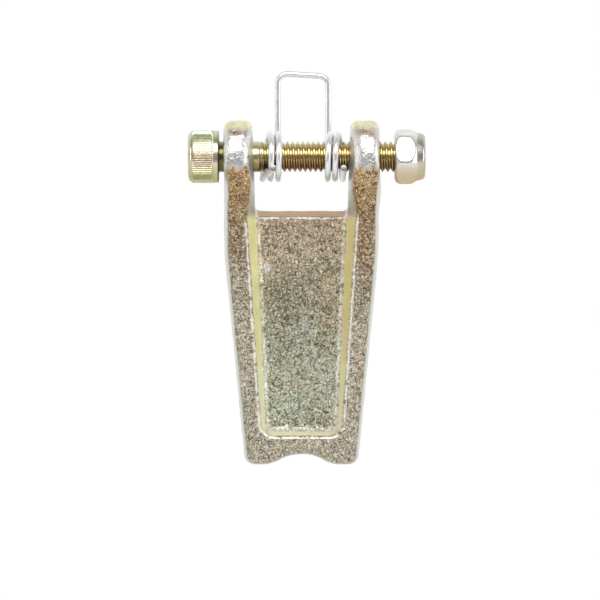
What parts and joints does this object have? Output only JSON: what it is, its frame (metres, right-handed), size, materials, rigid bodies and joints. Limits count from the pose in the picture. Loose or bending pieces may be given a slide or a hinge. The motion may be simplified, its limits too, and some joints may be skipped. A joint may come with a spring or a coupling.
{
  "type": "lifting hook safety latch kit",
  "caption": "Forged channel latch with two eyes on a socket cap screw, kept by a nylon insert lock nut and closed by a double torsion spring with a square loop.",
  "frame": {"origin": "centre of the pivot axis, midway between the two eyes of the latch", "axes": "+X along the screw from its head to the nut, +Z from the toe of the latch up through the pivot, +Y out of the flat back of the latch"},
  "size_m": [0.046, 0.0196, 0.0766],
  "materials": {
    "forged_zinc": "coarse forged skin under iridescent zinc plating",
    "yellow_zinc": "yellow zinc plating",
    "bright_zinc": "bright zinc plating",
    "nylon": "natural nylon",
    "spring_wire": "drawn bright wire"
  },
  "bodies": {
    "screw": {"cap_screw": "yellow_zinc"},
    "latch": {"latch_body": "forged_zinc"},
    "spring": {"spring_left_coil": "spring_wire", "spring_right_coil": "spring_wire"},
    "loop": {"spring_loop": "spring_wire"},
    "insert": {"nut_insert": "nylon"},
    "nut": {"lock_nut": "bright_zinc"}
  },
  "joints": [
    {"name": "latch_swing", "type": "hinge", "parent": "screw", "child": "latch", "pos_m": [0, 0, 0], "axis": [1, 0, 0], "continuous": true},
    {"name": "spring_swing", "type": "hinge", "parent": "latch", "child": "spring", "pos_m": [0, 0, 0], "axis": [1, 0, 0], "range_deg": [-126, 79]},
    {"name": "loop_windup", "type": "hinge", "parent": "spring", "child": "loop", "pos_m": [0, 0, 0], "axis": [1, 0, 0], "range_deg": [0, 70], "stiffness_Nm_per_rad": 0.64, "deforming": ["spring_left_coil", "spring_right_coil"]},
    {"name": "nut_travel", "type": "slide", "parent": "screw", "child": "insert", "axis": [1, 0, 0], "range_m": [-0.0025, 0.0055]},
    {"name": "nut_turn", "type": "hinge", "parent": "insert", "child": "nut", "pos_m": [0, 0, 0], "axis": [1, 0, 0], "range_deg": [-900, 1980]}
  ],
  "couplings": [
    {"joint": "nut_turn", "follows": "nut_travel", "rad_per_m": 6283.2}
  ]
}
